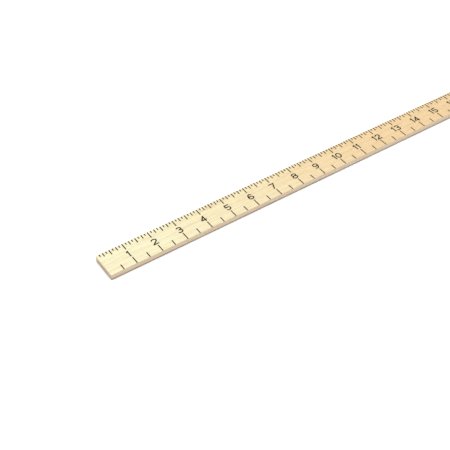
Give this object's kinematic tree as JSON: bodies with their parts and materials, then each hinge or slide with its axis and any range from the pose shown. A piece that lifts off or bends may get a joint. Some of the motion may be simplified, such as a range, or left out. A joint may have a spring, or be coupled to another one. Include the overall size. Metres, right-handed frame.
{
  "type": "wooden inch ruler",
  "caption": "Long flat hardwood inch rule with square ends, a hang hole, and stamped, inked lines and numerals on one face.",
  "frame": {"origin": "middle of the underside: half way along, half way across, where the rule lies on a table", "axes": "+X along the rule from the zero end to the hanging end, +Y across it from the coarse edge (inches and halves) to the fine edge (eighths), +Z out of the printed face"},
  "size_m": [0.9144, 0.027, 0.0064],
  "materials": {
    "hardwood": "pale close-grained hardwood, planed and sanded, thin clear satin lacquer",
    "stamping_ink": "dull black stamping ink, dry on the wood"
  },
  "bodies": {
    "root": {"slat": "hardwood", "fine_edge_inch_lines": "stamping_ink", "fine_edge_half_inch_lines": "stamping_ink", "fine_edge_quarter_inch_lines": "stamping_ink", "fine_edge_eighth_inch_lines": "stamping_ink", "coarse_edge_inch_lines": "stamping_ink", "coarse_edge_half_inch_lines": "stamping_ink", "numeral_01": "stamping_ink", "numeral_02": "stamping_ink", "numeral_03": "stamping_ink", "numeral_04": "stamping_ink", "numeral_05": "stamping_ink", "numeral_06": "stamping_ink", "numeral_07": "stamping_ink", "numeral_08": "stamping_ink", "numeral_09": "stamping_ink", "numeral_10": "stamping_ink", "numeral_11": "stamping_ink", "numeral_12": "stamping_ink", "numeral_13": "stamping_ink", "numeral_14": "stamping_ink", "numeral_15": "stamping_ink", "numeral_16": "stamping_ink", "numeral_17": "stamping_ink", "numeral_18": "stamping_ink", "numeral_19": "stamping_ink", "numeral_20": "stamping_ink", "numeral_21": "stamping_ink", "numeral_22": "stamping_ink", "numeral_23": "stamping_ink", "numeral_24": "stamping_ink", "numeral_25": "stamping_ink", "numeral_26": "stamping_ink", "numeral_27": "stamping_ink", "numeral_28": "stamping_ink", "numeral_29": "stamping_ink", "numeral_30": "stamping_ink", "numeral_31": "stamping_ink", "numeral_32": "stamping_ink", "numeral_33": "stamping_ink", "numeral_34": "stamping_ink", "numeral_35": "stamping_ink"}
  },
  "joints": []
}
